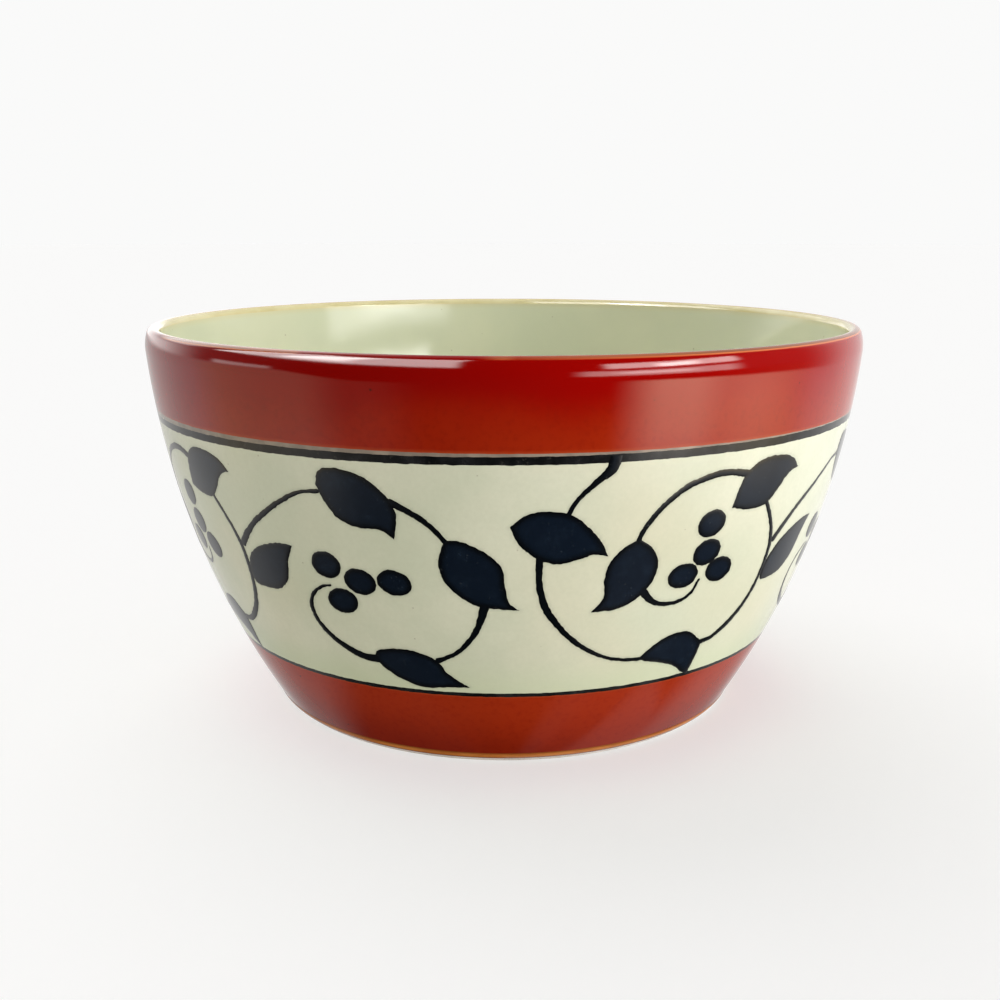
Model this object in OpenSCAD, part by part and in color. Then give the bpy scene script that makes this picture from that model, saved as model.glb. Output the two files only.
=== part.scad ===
// Glazed ceramic bowl with two iron-red bands and a cream band painted with a berry scroll.
// Millimetres, +Z up. The origin is the centre of the foot's resting plane.
// The front of the bowl faces -Y. Angles in the painting run from there towards +X.

/* [Bowl] */
// Outside diameter at the rim
rim_d = 130; // [120:1:140]
// Outside diameter where the foot meets the table
foot_d = 86; // [80:1:90]
// Height from the table to the top of the lip
height = 69.4; // [66:0.2:76]
// Radius of the outside wall's curve, seen from the side
belly_r = 148; // [130:1:180]
// Thickness of the lip
lip_t = 2.4; // [2.2:0.1:2.8]
// Radius of the soft shoulder under the lip
shoulder_r = 8; // [6:0.5:10]

/* [Inside] */
// Radius of the inside wall's curve
inside_r = 130; // [120:1:140]
// Height of the inside floor at its centre
floor_z = 7; // [6.5:0.5:9]
// Radius of the shallow dish of the inside floor
dish_r = 160; // [120:5:220]
// Radius of the curve between the inside floor and the wall
cove_r = 16; // [12:1:20]

/* [Foot] */
// Height of the foot ring
foot_h = 3.2; // [2.8:0.1:4]
// Width of the foot ring where it stands on the table
foot_w = 4; // [3:0.5:5]

/* [Glaze and enamel] */
// Thickness of each glaze coat
coat_t = 0.3; // [0.2:0.05:0.4]
// How far the painted strokes stand up from the cream band
stroke_t = 0.15; // [0.1:0.05:0.2]
// Height of the bare clay edge under the foot line
bare_h = 0.9; // [0.6:0.1:1.2]
// Top edge of the ochre foot line
foot_line_top = 2.1; // [1.8:0.1:2.4]
// Bottom edge of the lower black line
lower_line_z = 14.7; // [14:0.1:15.2]
// Top edge of the lower black line
cream_bottom = 15.3; // [15.3:0.1:15.5]
// Bottom edge of the upper black line
cream_top = 54.4; // [54.3:0.1:54.5]
// Top edge of the upper black line
upper_line_z = 55.4; // [55:0.1:55.6]
// Bottom edge of the upper red band
upper_red_z = 55.8; // [55.7:0.1:57]

/* [Hidden] */
QUARTERS = [1:4];
BANDS = ["clay_body", "foot_ring", "inner_glaze", "rim_line", "upper_red_band", "upper_grey_line",
         "upper_black_line", "cream_band", "lower_black_line", "lower_red_band", "foot_line",
         "base_glaze"];
STROKES = ["left_stems", "left_leaves", "left_berries", "right_stems", "right_leaves", "right_berries"];

big = 400;
round_fn = 180;
// A foot edge this wide is worn away where the bowl slides on the table
edge_wear = 0.4;
// Angle above level at which the shoulder passes into the lip
lean = 18;
// Points worked out on each span of a painted outline
span_steps = 3;
berry_fn = 20;
berry_w = 5.4;
berry_h = 4.4;
// Angle on the bowl at the middle of each scroll
left_mid = -18;
right_mid = 28;

// The point this far from a and this far from b, on the right going from a to b
function meet(a, from_a, b, from_b) = let (
    to_b = b - a,
    gap = norm(to_b),
    along = (from_a * from_a - from_b * from_b + gap * gap) / (2 * gap),
    across = sqrt(from_a * from_a - along * along)
  ) a + (along * to_b + across * [to_b[1], -to_b[0]]) / gap;

// Outside: the belly circle, the shoulder circle and the lip circle each touch the next
lip_r = lip_t / 2;
lean_dir = [cos(lean), sin(lean)];
crest_dir = [0, 1];
foot_point = [foot_d / 2, 0];
shoulder_c = [rim_d / 2 - shoulder_r, height - lip_r - (shoulder_r - lip_r) * sin(lean)];
lip_c = shoulder_c + (shoulder_r - lip_r) * lean_dir;
wall_c = meet(shoulder_c, belly_r - shoulder_r, foot_point, belly_r);
lip_dir = (shoulder_c - wall_c) / norm(shoulder_c - wall_c);

// Inside: the wall circle touches the lip, and the cove circle touches the wall and the dish
inside_c = lip_c - (inside_r + lip_r) * lip_dir;
dish_c = [0, floor_z + dish_r];
cove_c = meet(inside_c, inside_r - cove_r, dish_c, dish_r - cove_r);

function wall_x(z) = wall_c[0] + sqrt(belly_r * belly_r - pow(wall_c[1] - z, 2));

// ---- Profiles, drawn in the half plane x > 0 and turned about the Z axis ----

module disc(centre, r) {
  translate(centre) circle(r, $fn = 2 * round_fn);
}

// A corner between two directions, large enough to hold a circle of radius r about it
module wedge(corner, from, to, r) {
  polygon([corner, corner + 3 * r * from, corner + 3 * r * (from + to), corner + 3 * r * to]);
}

// Everything above the joint of wall and shoulder, and above the lip's two joints
module above_wall() {
  wedge(shoulder_c, lip_dir, crest_dir, shoulder_r);
}

module above_joints() {
  wedge(lip_c, lean_dir, -lip_dir, shoulder_r);
}

// The bowl without its hollow, shrunk by a depth
module outline(depth) {
  difference() {
    disc(wall_c, belly_r - depth);
    above_wall();
  }
  difference() {
    intersection() {
      above_wall();
      disc(shoulder_c, shoulder_r - depth);
    }
    above_joints();
  }
  intersection() {
    above_joints();
    disc(lip_c, lip_r - depth);
  }
}

// The coat on the lip and shoulder, from a height up, with its crest on the lip's centre line
module lip_coat(z0, x0, x1) {
  intersection() {
    translate([x0, z0]) square([x1 - x0, height - z0]);
    difference() {
      outline(0);
      outline(coat_t);
    }
  }
}

module strip(z0, z1) {
  translate([0, z0]) square([big, z1 - z0]);
}

// The coat on the outside wall between two heights
module wall_coat(z0, z1, under = coat_t, over = 0) {
  intersection() {
    strip(z0, z1);
    difference() {
      disc(wall_c, belly_r + over);
      disc(wall_c, belly_r - under);
    }
  }
}

// The hollow of the bowl, grown by a margin on every side
module hollow(margin) {
  wall_dir = (cove_c - inside_c) / norm(cove_c - inside_c);
  floor_dir = (cove_c - dish_c) / norm(cove_c - dish_c);
  difference() {
    intersection() {
      disc(inside_c, inside_r + margin);
      disc(dish_c, dish_r + margin);
    }
    difference() {
      wedge(cove_c, floor_dir, wall_dir, cove_r);
      disc(cove_c, cove_r + margin);
    }
  }
}

module outside_coat(z0, z1) {
  rotate_extrude($fn = round_fn) wall_coat(z0, z1);
}

// ---- Clay ----

module clay_body() {
  color("#d9d2c4")
    rotate_extrude($fn = round_fn)
      difference() {
        intersection() {
          strip(foot_h, height);
          outline(coat_t);
        }
        hollow(coat_t);
      }
}

module foot_ring() {
  outer_r = foot_d / 2 - coat_t;
  inner_r = outer_r - foot_w;
  color("#cfc4b8")
    rotate_extrude($fn = round_fn)
      intersection() {
        disc(wall_c, belly_r - coat_t);
        polygon([[inner_r - 1, foot_h], [inner_r, edge_wear], [inner_r + edge_wear, 0],
                 [outer_r - edge_wear, 0], [outer_r - edge_wear + foot_h, foot_h]]);
      }
}

// ---- Glaze coats ----

module inner_glaze() {
  color("#ccd0ae")
    rotate_extrude($fn = round_fn)
      intersection() {
        strip(0, height);
        difference() {
          hollow(coat_t);
          hollow(0);
          above_joints();
        }
      }
}

module rim_line() {
  color("#c8ab78")
    rotate_extrude($fn = round_fn)
      intersection() {
        above_joints();
        lip_coat(lip_c[1], lip_c[0] - lip_t, lip_c[0]);
      }
}

module base_glaze() {
  color("#d0d2b4")
    translate([0, 0, foot_h - coat_t])
      cylinder(h = coat_t, r = foot_d / 2 - coat_t - foot_w - 1, $fn = round_fn);
}

module upper_red_band() {
  color("#94260c") rotate_extrude($fn = round_fn) lip_coat(upper_red_z, lip_c[0], rim_d);
}

module upper_grey_line() {
  color("#8a7a6c") outside_coat(upper_line_z, upper_red_z);
}

module upper_black_line() {
  color("#15161a") outside_coat(cream_top, upper_line_z);
}

module cream_band() {
  color("#dcdabc") outside_coat(cream_bottom, cream_top);
}

module lower_black_line() {
  color("#15161a") outside_coat(lower_line_z, cream_bottom);
}

module lower_red_band() {
  color("#7d220a") outside_coat(foot_line_top, lower_line_z);
}

module foot_line() {
  color("#b06d36") outside_coat(bare_h, foot_line_top);
}

// ---- Painted scrolls ----
// A quarter of the band holds one left scroll and one right scroll.
// Points are [angle in degrees, height in mm]; a stem's third number is its width in mm.

LEFT_STEMS = [
  [[-15.2, 48, 1.3], [-13.3, 47, 1], [-11.2, 45.7, 0.9], [-9.6, 44.2, 0.8], [-8, 42.2, 0.8]],
  [[-2.9, 31.8, 1.4], [-3.5, 29.5, 1.1], [-4.3, 27.3, 0.9], [-5.8, 25, 0.8], [-7.8, 23, 0.7],
   [-10.8, 21.5, 0.9]],
  [[-21.5, 20.7, 1.5], [-24, 20.8, 1.4], [-27, 22, 1.2], [-29.8, 24, 1], [-31.5, 26.6, 0.8],
   [-31.7, 29.3, 0.7], [-30.3, 31.6, 0.6], [-28.4, 32.9, 0.5], [-26.9, 33.3, 0.4]]
];
// A leaf is its two edges, both drawn from its base to its tip
LEFT_LEAVES = [
  [[[-26.1, 50], [-25.2, 52.3], [-22.5, 52.7], [-19, 51.8], [-16, 49.3], [-14.6, 46.3], [-15.2, 42.2]],
   [[-26.1, 50], [-25, 47.2], [-23.2, 44.8], [-20.5, 43.7], [-17.2, 43.6], [-15.2, 42.2]]],
  [[[-8.2, 42.5], [-6, 42.4], [-2.9, 40.9], [-0.5, 38.4], [0.1, 35], [0.7, 32.4], [2.3, 31]],
   [[-8.2, 42.5], [-9.2, 39.2], [-8.7, 36], [-6.8, 33.6], [-3.8, 31.7], [2.3, 31]]],
  [[[-22, 20.9], [-21, 22.4], [-17.5, 23.1], [-14, 22.8], [-11, 21.4], [-9.2, 18.9], [-5.9, 16.5]],
   [[-22, 20.9], [-20.6, 19], [-18, 17.3], [-14.2, 16], [-10, 16.3], [-5.9, 16.5]]]
];
LEFT_BERRIES = [[-26.9, 36.8], [-21.6, 34.6], [-16.1, 35], [-25.3, 30.8]];

RIGHT_STEMS = [
  [[14.3, 55, 1.8], [13.8, 53.2, 1.6], [12.4, 51.8, 1.1], [10.6, 50, 0.8], [9.3, 48.4, 0.7],
   [8.2, 46, 0.8]],
  [[4.9, 40, 1.1], [4.8, 37, 0.9], [5.2, 34, 0.9], [6.2, 31, 1], [8, 28.3, 0.9], [10, 26, 0.8],
   [12.8, 23.7, 0.7], [16, 21.9, 0.6], [19.5, 20.8, 0.6], [24, 20.3, 0.7]],
  [[35, 21.2, 1], [38.2, 21.7, 1], [41, 23.5, 1.1], [43.4, 26.1, 1], [44.9, 29.3, 0.9],
   [45.5, 33, 0.9], [45.4, 36.8, 1], [44.4, 39.8, 0.9], [42.9, 42.5, 0.8], [41, 45.3, 0.8]],
  [[35.5, 50.4, 1.2], [33, 51, 1.1], [30.3, 51.1, 1.1], [27.5, 50.5, 1], [25, 49.5, 1],
   [22.4, 47.5, 0.9], [20.5, 45.2, 0.9], [19.2, 43, 0.8], [18.7, 41.2, 0.9]],
  [[20.4, 33.6, 1.3], [22.3, 31.5, 1.1], [24, 30.5, 0.8], [26.3, 30.2, 0.7], [28.3, 30.5, 0.7],
   [29.8, 31.6, 0.6], [30.6, 33.6, 0.5]],
  [[46, 37.9, 1.2], [47.8, 40, 1.1], [50.3, 42.4, 0.9], [54, 45, 0.8], [58, 47.4, 0.7],
   [61, 48.8, 0.6], [63.8, 49.2, 0.7]]
];
RIGHT_LEAVES = [
  [[[0.7, 44.8], [2.5, 46.4], [5, 47.1], [9, 46.4], [12.8, 42.8], [14.5, 39.6]],
   [[0.7, 44.8], [1.9, 42], [4.6, 39.6], [7.5, 38.7], [10.5, 39.4], [12.4, 40], [14.5, 39.6]]],
  [[[22.8, 20.3], [25, 22.4], [27.8, 24], [31.5, 24.2], [34.2, 22.6], [36, 20.5], [35.7, 15]],
   [[22.8, 20.3], [25, 19.6], [29, 18.4], [32, 17.1], [33.6, 15.9], [35.7, 15]]],
  [[[33.8, 45.2], [34.5, 48.5], [35.6, 50.8], [38.4, 52.4], [42.4, 52.5], [45.4, 51.6], [47.3, 49.9]],
   [[33.8, 45.2], [37.2, 44.4], [40.8, 44.7], [43, 46.6], [45, 49], [47.3, 49.9]]],
  [[[18.8, 42], [20.9, 40.6], [22.5, 37.8], [22.2, 34.8], [20.2, 32], [17, 30.4], [13, 30.2]],
   [[18.8, 42], [16.4, 40.5], [14.8, 38.2], [14.4, 35.6], [14.6, 32.6], [13, 30.2]]],
  [[[45.6, 33], [46.8, 35.6], [49, 37.7], [52.5, 39.3], [55.5, 39.9], [57.7, 39.8]],
   [[45.6, 33], [46.2, 30.7], [49, 30.4], [52.5, 31], [55.1, 33.4], [56.2, 37], [57.7, 39.8]]]
];
RIGHT_BERRIES = [[30.6, 43.1], [30.9, 38.3], [27.4, 34.8], [34.2, 34.9]];

// A point of the painting, flattened on to the plane that touches the bowl at angle mid
function flat(p, mid) = concat([wall_x(p[1]) * sin(p[0] - mid), p[1]], len(p) > 2 ? [p[2]] : []);

// A smooth curve through every point of a list
function blend(a, b, c, d, t) =
  b + (c - a) * t / 2 + (2 * a - 5 * b + 4 * c - d) * t * t / 2 + (3 * b - a - 3 * c + d) * t * t * t / 2;
function smooth(p) = let (last = len(p) - 1)
  concat([for (i = [0:last - 1]) for (k = [0:span_steps - 1])
            blend(p[max(i - 1, 0)], p[i], p[i + 1], p[min(i + 2, last)], k / span_steps)],
         [p[last]]);

function backwards(p) = [for (i = [len(p) - 1:-1:0]) p[i]];
function inner_points(p) = [for (i = [1:len(p) - 2]) p[i]];
function side(line, i, way) = let (
    a = line[max(i - 1, 0)],
    b = line[min(i + 1, len(line) - 1)],
    d = [b[0] - a[0], b[1] - a[1]]
  ) [line[i][0], line[i][1]] + way * line[i][2] / 2 * [-d[1], d[0]] / norm(d);

module leaf_outlines(leaves, mid) {
  for (leaf = leaves) {
    upper = smooth([for (p = leaf[0]) flat(p, mid)]);
    lower = smooth([for (p = leaf[1]) flat(p, mid)]);
    polygon(concat(upper, backwards(inner_points(lower))));
  }
}

module stem_outlines(stems, mid) {
  for (stem = stems) {
    line = smooth([for (p = stem) flat(p, mid)]);
    ends = [0:len(line) - 1];
    polygon(concat([for (i = ends) side(line, i, 1)], backwards([for (i = ends) side(line, i, -1)])));
  }
}

module berry_outlines(berries, mid) {
  for (berry = berries)
    translate(flat(berry, mid))
      polygon([for (k = [1:berry_fn])
                 [berry_w / 2 * cos(360 * k / berry_fn), berry_h / 2 * sin(360 * k / berry_fn)]]);
}

// Lays flat outlines on the cream band as thin raised enamel
module painted(mid, quarter) {
  rotate(90 * (quarter - 1))
    intersection() {
      rotate_extrude($fn = round_fn) wall_coat(cream_bottom, cream_top, 0, stroke_t);
      rotate(mid) rotate([90, 0, 0]) linear_extrude(rim_d / 2) children();
    }
}

module leaves(list, mid, quarter) {
  color("#1a2030") painted(mid, quarter) leaf_outlines(list, mid);
}

module stems(list, leaf_list, mid, quarter) {
  color("#1d222c")
    painted(mid, quarter)
      difference() {
        stem_outlines(list, mid);
        leaf_outlines(leaf_list, mid);
      }
}

module berries(list, mid, quarter) {
  color("#1c2432") painted(mid, quarter) berry_outlines(list, mid);
}

clay_body();
foot_ring();
inner_glaze();
rim_line();
upper_red_band();
upper_grey_line();
upper_black_line();
cream_band();
lower_black_line();
lower_red_band();
foot_line();
base_glaze();
for (q = QUARTERS) {
  stems(LEFT_STEMS, LEFT_LEAVES, left_mid, q);
  leaves(LEFT_LEAVES, left_mid, q);
  berries(LEFT_BERRIES, left_mid, q);
  stems(RIGHT_STEMS, RIGHT_LEAVES, right_mid, q);
  leaves(RIGHT_LEAVES, right_mid, q);
  berries(RIGHT_BERRIES, right_mid, q);
}
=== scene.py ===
"""A glazed ceramic bowl: two iron-red bands, and a cream band painted with a blue-black berry scroll.

Metres, +Z up, front of the bowl towards -Y. Angles round the bowl run from the front towards +X.
Every piece is a closed solid that stands in for the frame's piece of the same name.
"""
import math

import bpy
import numpy as np
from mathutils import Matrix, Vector, geometry, kdtree, noise

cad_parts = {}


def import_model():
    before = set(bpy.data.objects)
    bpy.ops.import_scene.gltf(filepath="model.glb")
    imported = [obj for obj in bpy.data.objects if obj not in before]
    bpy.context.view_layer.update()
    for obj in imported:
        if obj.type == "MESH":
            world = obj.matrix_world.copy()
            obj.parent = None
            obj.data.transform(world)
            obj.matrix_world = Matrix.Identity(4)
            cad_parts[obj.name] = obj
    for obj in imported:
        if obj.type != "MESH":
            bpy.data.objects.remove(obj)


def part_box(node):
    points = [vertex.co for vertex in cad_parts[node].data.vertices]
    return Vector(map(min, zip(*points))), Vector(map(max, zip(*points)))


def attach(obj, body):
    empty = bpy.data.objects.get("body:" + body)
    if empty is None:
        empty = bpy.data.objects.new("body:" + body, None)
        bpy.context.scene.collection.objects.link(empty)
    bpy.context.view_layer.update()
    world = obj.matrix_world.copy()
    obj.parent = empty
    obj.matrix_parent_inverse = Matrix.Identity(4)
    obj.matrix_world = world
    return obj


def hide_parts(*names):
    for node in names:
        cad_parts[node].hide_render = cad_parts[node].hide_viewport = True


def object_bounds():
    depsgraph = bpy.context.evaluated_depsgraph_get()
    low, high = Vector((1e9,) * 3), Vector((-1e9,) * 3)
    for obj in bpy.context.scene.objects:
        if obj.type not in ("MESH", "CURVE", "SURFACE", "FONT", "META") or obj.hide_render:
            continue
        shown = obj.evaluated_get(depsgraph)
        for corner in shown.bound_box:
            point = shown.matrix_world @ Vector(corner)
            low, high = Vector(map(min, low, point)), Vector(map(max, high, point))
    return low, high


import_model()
cad_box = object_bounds()

MM = 0.001
ROUND = 720            # points round the bowl in each ring
QUARTERS = (1, 2, 3, 4)

# ---------------------------------------------------------------- shape of the bowl, from the frame

rim_r = cad_box[1].x
height = cad_box[1].z
foot_point = Vector((43 * MM, 0))
coat = 0.3 * MM
lip_r = 1.2 * MM
shoulder_r = 8 * MM
lean = math.radians(18)        # where the shoulder passes into the lip
belly_r = 148 * MM
inside_r = 130 * MM
dish_r = 160 * MM
cove_r = 16 * MM
foot_w = 4 * MM
edge_wear = 0.4 * MM
base_inset = 1 * MM            # how far the ring's flare reaches in under the floor

bare_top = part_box("foot_line")[0].z
foot_line_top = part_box("foot_line")[1].z
foot_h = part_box("foot_ring")[1].z
lower_line_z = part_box("lower_black_line")[0].z
cream_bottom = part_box("cream_band")[0].z
cream_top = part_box("cream_band")[1].z
upper_line_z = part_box("upper_black_line")[1].z
upper_red_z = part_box("upper_red_band")[0].z
floor_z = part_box("inner_glaze")[0].z + coat


def meet(a, from_a, b, from_b):
    """The profile point this far from a and from b, on the left going from b to a."""
    to_b = b - a
    gap = to_b.length
    along = (from_a ** 2 - from_b ** 2 + gap ** 2) / (2 * gap)
    across = math.sqrt(from_a ** 2 - along ** 2)
    return a + (along * to_b + across * Vector((to_b.y, -to_b.x))) / gap


# The outside is a long belly arc, a soft shoulder and the round lip, each flowing into the next
shoulder_c = Vector((rim_r - shoulder_r, height - lip_r - (shoulder_r - lip_r) * math.sin(lean)))
lip_c = shoulder_c + (shoulder_r - lip_r) * Vector((math.cos(lean), math.sin(lean)))
wall_c = meet(shoulder_c, belly_r - shoulder_r, foot_point, belly_r)
wall_end = math.atan2(shoulder_c.y - wall_c.y, shoulder_c.x - wall_c.x)
# The inside is a wall arc, a cove and a shallow dish
lip_dir = Vector((math.cos(wall_end), math.sin(wall_end)))
inside_c = lip_c - (inside_r + lip_r) * lip_dir
dish_c = Vector((0, floor_z + dish_r))
cove_c = meet(inside_c, inside_r - cove_r, dish_c, dish_r - cove_r)


def wall_x(z, depth=0.0):
    """Radius of the outside at a height, this deep under the surface. Takes numbers or arrays."""
    return wall_c.x + np.sqrt((belly_r - depth) ** 2 - (wall_c.y - z) ** 2)


def arc(centre, radius, start, end, count):
    """Profile points (r, z) along an arc, angles in degrees."""
    steps = np.radians(np.linspace(start, end, count))
    return [(centre[0] + radius * math.cos(a), centre[1] + radius * math.sin(a)) for a in steps]


def direction(a, b):
    return math.degrees(math.atan2(b[1] - a[1], b[0] - a[0]))


# ---------------------------------------------------------------- laying points on the bowl

TURN = np.linspace(0, 2 * math.pi, ROUND, endpoint=False)


def wobble(turn):
    """How far the thrown wall leaves a true circle."""
    return 0.07 * MM * (np.sin(2 * turn + 0.9) + 0.6 * np.sin(3 * turn + 2.2) + 0.25 * np.sin(7 * turn))


def place(r, turn, z):
    """Points on the bowl from radius, angle from the front, and height."""
    r, turn, z = np.broadcast_arrays(r, turn, z)
    r = r + wobble(turn) * np.clip(r / rim_r, 0, 1)
    return np.stack([r * np.sin(turn), -r * np.cos(turn), z], -1)


def ragged(seed, size, waves):
    """A small periodic wander of an edge round the bowl, for every angle in TURN."""
    out = np.zeros(ROUND)
    for i, t in enumerate(TURN):
        p = Vector((waves * math.cos(t), waves * math.sin(t), seed))
        out[i] = noise.fractal(p, 0.6, 2.1, 4)
    return size * out


def new_object(name, verts, faces):
    """A mesh object in the scene."""
    mesh = bpy.data.meshes.new(name)
    mesh.from_pydata(verts, [], faces)
    mesh.update()
    made = bpy.data.objects.new(name, mesh)
    bpy.context.collection.objects.link(made)
    return made


def smooth_piece(name, verts, faces):
    made = new_object(name, verts, faces)
    made.data.polygons.foreach_set("use_smooth", [True] * len(faces))
    return made


def skin(name, loops):
    """A closed mesh from rings of points, the last joined to the first. A ring of one point is a pole."""
    verts = np.concatenate([np.reshape(p, (-1, 3)) for p in loops])
    starts = np.cumsum([0] + [len(np.reshape(p, (-1, 3))) for p in loops])
    faces = []
    pairs = list(zip(range(len(loops)), list(range(1, len(loops))) + [0]))
    for a, b in pairs:
        na = starts[a + 1] - starts[a]
        nb = starts[b + 1] - starts[b]
        if na == 1 and nb == 1:
            continue
        for i in range(max(na, nb)):
            j = (i + 1) % max(na, nb)
            if na == 1:
                faces.append((starts[a], starts[b] + j, starts[b] + i))
            elif nb == 1:
                faces.append((starts[a] + i, starts[a] + j, starts[b]))
            else:
                faces.append((starts[a] + i, starts[a] + j, starts[b] + j, starts[b] + i))
    return smooth_piece(name, verts.tolist(), faces)


def turned(profile):
    """Rings of points from a profile of (r, z); a point on the axis becomes a pole."""
    rings = []
    for r, z in profile:
        if r < 1e-6:
            rings.append(np.array([[0, 0, z]]))
        else:
            rings.append(place(r, TURN, z))
    return rings


def wall_rings(low, high, rows, depth=0.0):
    """Rings on the outside from height low to height high, each a number or one value for each angle."""
    rings = []
    for t in np.linspace(0, 1, rows + 1):
        z = low + t * (high - low) + 0 * TURN
        rings.append(place(wall_x(z, depth), TURN, z))
    return rings


def band(name, low, high, rows):
    """A closed coat on the outside wall between two edges."""
    under = max(2, rows // 6)
    return skin(name, wall_rings(low, high, rows) + wall_rings(high, low, under, coat))


# ---------------------------------------------------------------- materials

def srgb(r, g, b):
    """Linear colour from the 0-255 numbers that a screen shows."""
    def channel(c):
        c /= 255
        return c / 12.92 if c <= 0.04045 else ((c + 0.055) / 1.055) ** 2.4
    return (channel(r), channel(g), channel(b), 1.0)


class Recipe:
    """A Principled material and short ways to add the nodes it needs."""

    def __init__(self, name, roughness):
        self.material = bpy.data.materials.new(name)
        self.material.use_nodes = True
        self.tree = self.material.node_tree
        self.shader = self.tree.nodes["Principled BSDF"]
        self.shader.inputs["Roughness"].default_value = roughness
        self.shader.inputs["IOR"].default_value = 1.5
        self.place = self.node("ShaderNodeTexCoord").outputs["Object"]

    def node(self, kind, **settings):
        made = self.tree.nodes.new(kind)
        for key, value in settings.items():
            setattr(made, key, value)
        return made

    def link(self, source, target):
        self.tree.links.new(source, target)

    def noise(self, scale, detail=3.0, rough=0.55):
        """Noise of this many cells a metre."""
        made = self.node("ShaderNodeTexNoise")
        made.inputs["Scale"].default_value = scale
        made.inputs["Detail"].default_value = detail
        made.inputs["Roughness"].default_value = rough
        self.link(self.place, made.inputs["Vector"])
        return made.outputs["Fac"]

    def ramp(self, value, low, high):
        """Maps low..high to 0..1 with soft ends."""
        made = self.node("ShaderNodeMapRange", interpolation_type="SMOOTHSTEP")
        made.inputs["From Min"].default_value = low
        made.inputs["From Max"].default_value = high
        self.link(value, made.inputs["Value"])
        return made.outputs["Result"]

    def times(self, value, factor):
        made = self.node("ShaderNodeMath", operation="MULTIPLY")
        self.link(value, made.inputs[0])
        if isinstance(factor, (int, float)):
            made.inputs[1].default_value = factor
        else:
            self.link(factor, made.inputs[1])
        return made.outputs["Value"]

    def mix(self, factor, a, b):
        """Colour a where factor is 0, colour b where it is 1."""
        made = self.node("ShaderNodeMix", data_type="RGBA")
        self.link(factor, made.inputs["Factor"])
        for socket, colour in (("A", a), ("B", b)):
            target = next(s for s in made.inputs if s.name == socket and s.type == "RGBA")
            if isinstance(colour, tuple):
                target.default_value = colour
            else:
                self.link(colour, target)
        return next(s for s in made.outputs if s.type == "RGBA")

    def along(self, axis):
        """Distance from the origin along an axis: Z is the height above the table."""
        split = self.node("ShaderNodeSeparateXYZ")
        self.link(self.place, split.inputs["Vector"])
        return split.outputs[axis]

    def specks(self, scale, size):
        """Small round spots in about one cell of ten, 1 inside a spot; scale is cells a metre."""
        made = self.node("ShaderNodeTexVoronoi")
        made.inputs["Scale"].default_value = scale
        self.link(self.place, made.inputs["Vector"])
        rare = self.node("ShaderNodeSeparateColor")
        self.link(made.outputs["Color"], rare.inputs["Color"])
        near = self.ramp(made.outputs["Distance"], size, size * 0.4)
        chosen = self.ramp(rare.outputs["Red"], 0.86, 0.9)
        return self.times(near, chosen)

    def attribute(self, name):
        return self.node("ShaderNodeAttribute", attribute_name=name).outputs["Fac"]

    def colour(self, value):
        self.link(value, self.shader.inputs["Base Color"])

    def roughness(self, value, low, high):
        made = self.node("ShaderNodeMapRange")
        made.inputs["To Min"].default_value = low
        made.inputs["To Max"].default_value = high
        self.link(value, made.inputs["Value"])
        self.link(made.outputs["Result"], self.shader.inputs["Roughness"])

    def bump(self, value, depth, over=None):
        made = self.node("ShaderNodeBump")
        made.inputs["Distance"].default_value = depth
        self.link(value, made.inputs["Height"])
        if over is not None:
            self.link(over, made.inputs["Normal"])
        self.link(made.outputs["Normal"], self.shader.inputs["Normal"])
        return made.outputs["Normal"]


RIPPLE_DEPTH = 0.02 * MM
PIT_DEPTH = 0.0012 * MM


def glaze_surface(recipe):
    """What every glaze here shares: a slow ripple in the gloss, and very fine pitting."""
    slow = recipe.noise(160, detail=1.0)
    first = recipe.bump(slow, RIPPLE_DEPTH)
    fine = recipe.noise(1800, detail=2.0)
    recipe.bump(fine, PIT_DEPTH, over=first)
    recipe.roughness(recipe.noise(90), 0.05, 0.09)


def cream_glaze():
    made = Recipe("cream_glaze", 0.07)
    patches = made.ramp(made.noise(55, detail=4.0), 0.35, 0.68)
    base = made.mix(patches, srgb(203, 205, 177), srgb(214, 213, 186))
    warm = made.ramp(made.noise(22, detail=2.0), 0.5, 0.75)
    base = made.mix(made.times(warm, 0.5), base, srgb(210, 201, 168))
    grain = made.ramp(made.noise(1400, detail=3.0), 0.3, 0.7)
    base = made.mix(made.times(grain, 0.16), base, srgb(190, 190, 160))
    pooled = made.ramp(made.along("Z"), cream_bottom + 8 * MM, cream_bottom)
    base = made.mix(made.times(pooled, 0.6), base, srgb(196, 204, 166))
    # The cream turns a soft grey close round every painted stroke
    stroke_halo = made.times(made.attribute("stroke_halo"), 0.3)
    base = made.mix(stroke_halo, base, srgb(134, 140, 118))
    spots = made.times(made.specks(520, 0.09), 0.5)
    made.colour(made.mix(spots, base, srgb(120, 100, 70)))
    glaze_surface(made)
    return made.material


def celadon_glaze():
    made = Recipe("celadon_glaze", 0.06)
    z = made.along("Z")
    pooled = made.ramp(z, 26 * MM, 8 * MM)
    base = made.mix(pooled, srgb(208, 211, 183), srgb(178, 192, 150))
    patches = made.ramp(made.noise(48, detail=4.0), 0.35, 0.7)
    base = made.mix(made.times(patches, 0.35), base, srgb(222, 220, 190))
    thin = made.ramp(z, height - 2.4 * MM, height - 1 * MM)
    base = made.mix(made.times(thin, 0.6), base, srgb(214, 205, 164))
    spots = made.times(made.specks(420, 0.1), 0.45)
    made.colour(made.mix(spots, base, srgb(128, 108, 74)))
    glaze_surface(made)
    return made.material


def rim_ochre():
    made = Recipe("rim_ochre", 0.08)
    streaks = made.ramp(made.noise(150, detail=3.0), 0.3, 0.7)
    z = made.along("Z")
    crest = made.ramp(z, height - 0.12 * MM, height)
    base = made.mix(streaks, srgb(212, 200, 150), srgb(222, 212, 168))
    made.colour(made.mix(made.times(crest, 0.5), base, srgb(176, 110, 60)))
    glaze_surface(made)
    return made.material


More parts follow.
